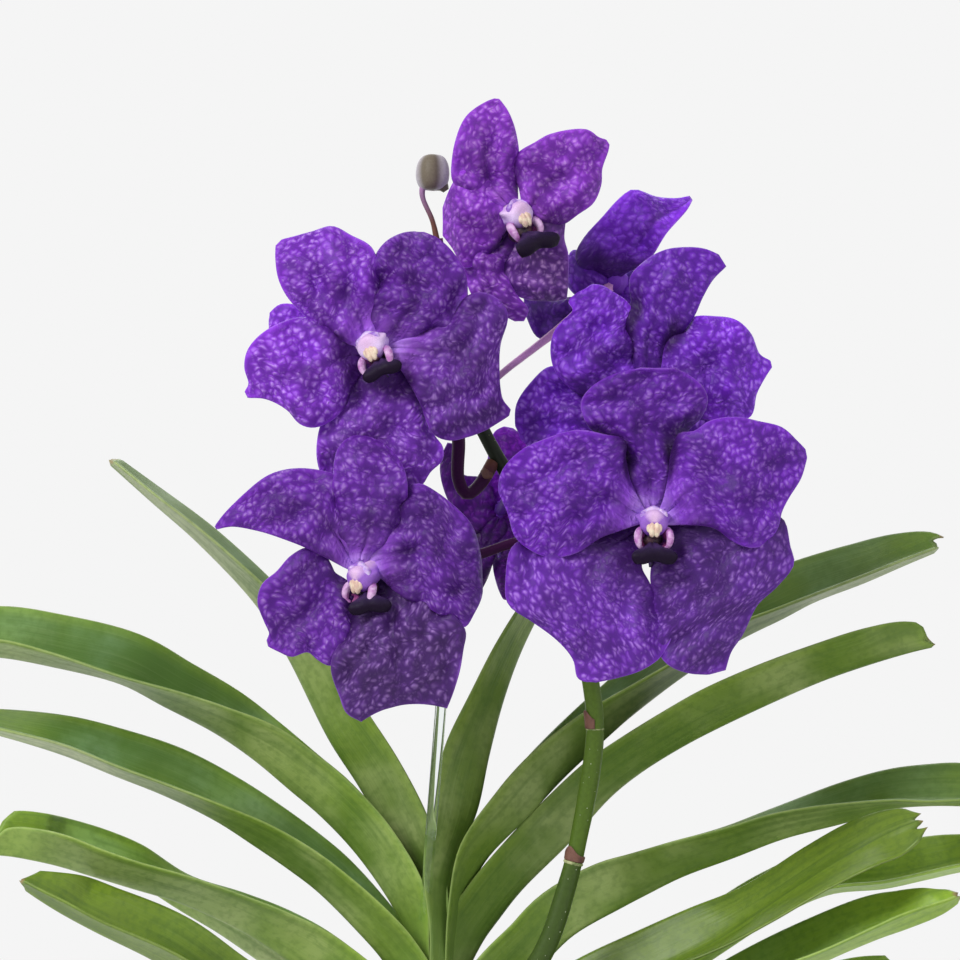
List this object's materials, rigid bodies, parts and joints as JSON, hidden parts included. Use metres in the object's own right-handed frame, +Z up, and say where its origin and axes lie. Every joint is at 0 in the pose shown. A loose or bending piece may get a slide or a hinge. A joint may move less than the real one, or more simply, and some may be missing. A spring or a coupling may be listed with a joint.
{
  "type": "vanda orchid",
  "caption": "Vanda orchid in bloom: a fan of strap leaves and one arching spray of violet spotted flowers, bare-rooted in a plain straight glass vase.",
  "frame": {"origin": "centre of the vase's foot, on the surface that it stands on", "axes": "+Z up along the vase's axis; -Y is the side that the flowers face; the leaf fan spreads along X"},
  "size_m": [0.3791, 0.1481, 0.5825],
  "materials": {
    "glass": "clear polished glass",
    "leaf": "leathery satin leaf",
    "stem": "matt old leaf sheaths",
    "root": "matt grey-green velamen",
    "peduncle": "smooth satin stalk",
    "bud": "smooth satin bud",
    "column": "waxy pale violet",
    "lip": "dark violet satin",
    "tepal": "soft violet petal with paler spots"
  },
  "bodies": {
    "root": {"vase": "glass", "stem": "stem", "peduncle": "peduncle", "bud": "bud", "root_1": "root", "root_2": "root", "root_3": "root", "root_4": "root", "leaf_centre": "leaf", "leaf_left_1": "leaf", "leaf_left_2": "leaf", "leaf_left_3": "leaf", "leaf_left_4": "leaf", "leaf_left_5": "leaf", "leaf_left_6": "leaf", "leaf_right_1": "leaf", "leaf_right_2": "leaf", "leaf_right_3": "leaf", "leaf_right_4": "leaf", "leaf_right_5": "leaf", "leaf_right_6": "leaf", "leaf_right_7": "leaf", "flower_1_column": "column", "flower_1_lip": "lip", "flower_1_petal_left": "tepal", "flower_1_petal_right": "tepal", "flower_1_sepal_dorsal": "tepal", "flower_1_sepal_left": "tepal", "flower_1_sepal_right": "tepal", "flower_2_column": "column", "flower_2_lip": "lip", "flower_2_petal_left": "tepal", "flower_2_petal_right": "tepal", "flower_2_sepal_dorsal": "tepal", "flower_2_sepal_left": "tepal", "flower_2_sepal_right": "tepal", "flower_3_column": "column", "flower_3_lip": "lip", "flower_3_petal_left": "tepal", "flower_3_petal_right": "tepal", "flower_3_sepal_dorsal": "tepal", "flower_3_sepal_left": "tepal", "flower_3_sepal_right": "tepal", "flower_4_column": "column", "flower_4_lip": "lip", "flower_4_petal_left": "tepal", "flower_4_petal_right": "tepal", "flower_4_sepal_dorsal": "tepal", "flower_4_sepal_left": "tepal", "flower_4_sepal_right": "tepal", "flower_5_column": "column", "flower_5_lip": "lip", "flower_5_petal_left": "tepal", "flower_5_petal_right": "tepal", "flower_5_sepal_dorsal": "tepal", "flower_5_sepal_left": "tepal", "flower_5_sepal_right": "tepal", "rear_flower_1": "tepal", "rear_flower_2": "tepal", "rear_flower_3": "tepal"}
  },
  "joints": []
}
